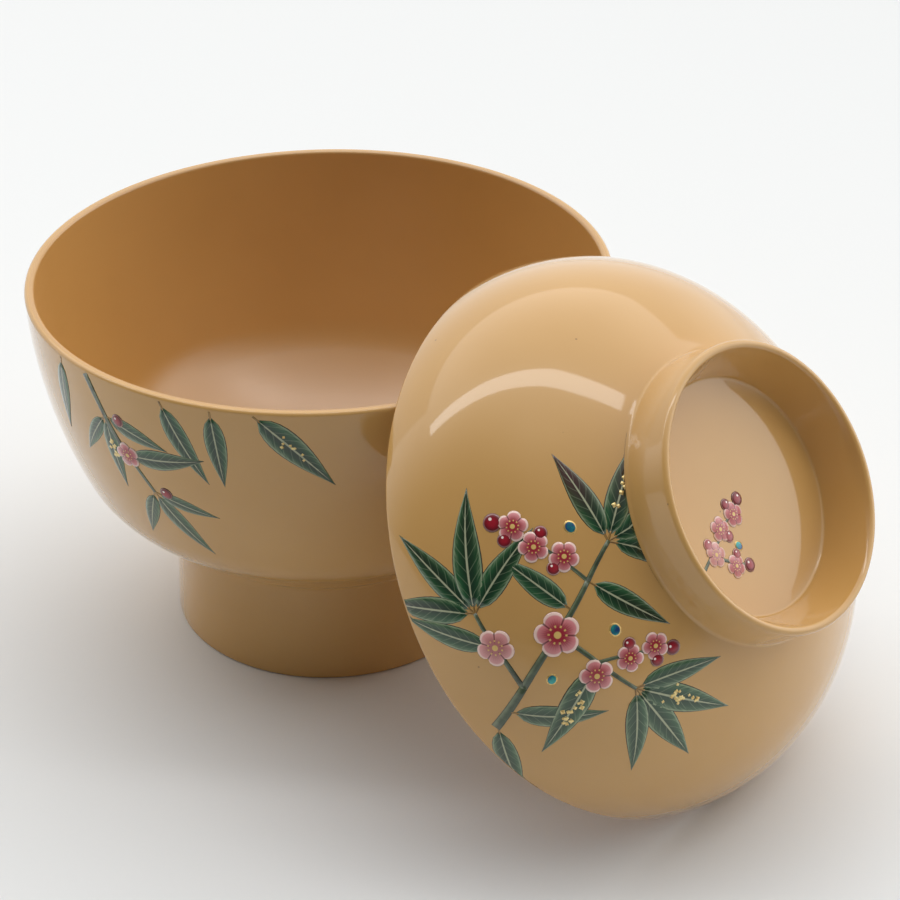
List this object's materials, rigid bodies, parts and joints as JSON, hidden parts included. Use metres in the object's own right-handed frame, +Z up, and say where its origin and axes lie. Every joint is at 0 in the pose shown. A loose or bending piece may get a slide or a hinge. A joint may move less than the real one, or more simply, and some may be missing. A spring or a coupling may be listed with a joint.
{
  "type": "lidded soup bowl",
  "caption": "Footed lacquered soup bowl with a domed, ring-gripped lid that is taken off and leans on the bowl's rim.",
  "frame": {"origin": "centre of the bowl's foot ring, on the table", "axes": "+Z up along the bowl's axis; -Y towards the viewer of the picture; the lid leans on the +X -Y side"},
  "size_m": [0.1649, 0.1626, 0.0956],
  "materials": {
    "bowl_lacquer": "gloss lacquer outside, satin lacquer inside",
    "lid_lacquer": "gloss lacquer"
  },
  "bodies": {
    "bowl_body": {"bowl": "bowl_lacquer"},
    "lid_body": {"lid": "lid_lacquer"}
  },
  "joints": [
    {"name": "lid_away", "type": "slide", "parent": "bowl_body", "child": "lid_body", "axis": [0.592, -0.5618, 0.5778], "range_m": [0, 0.08]}
  ]
}
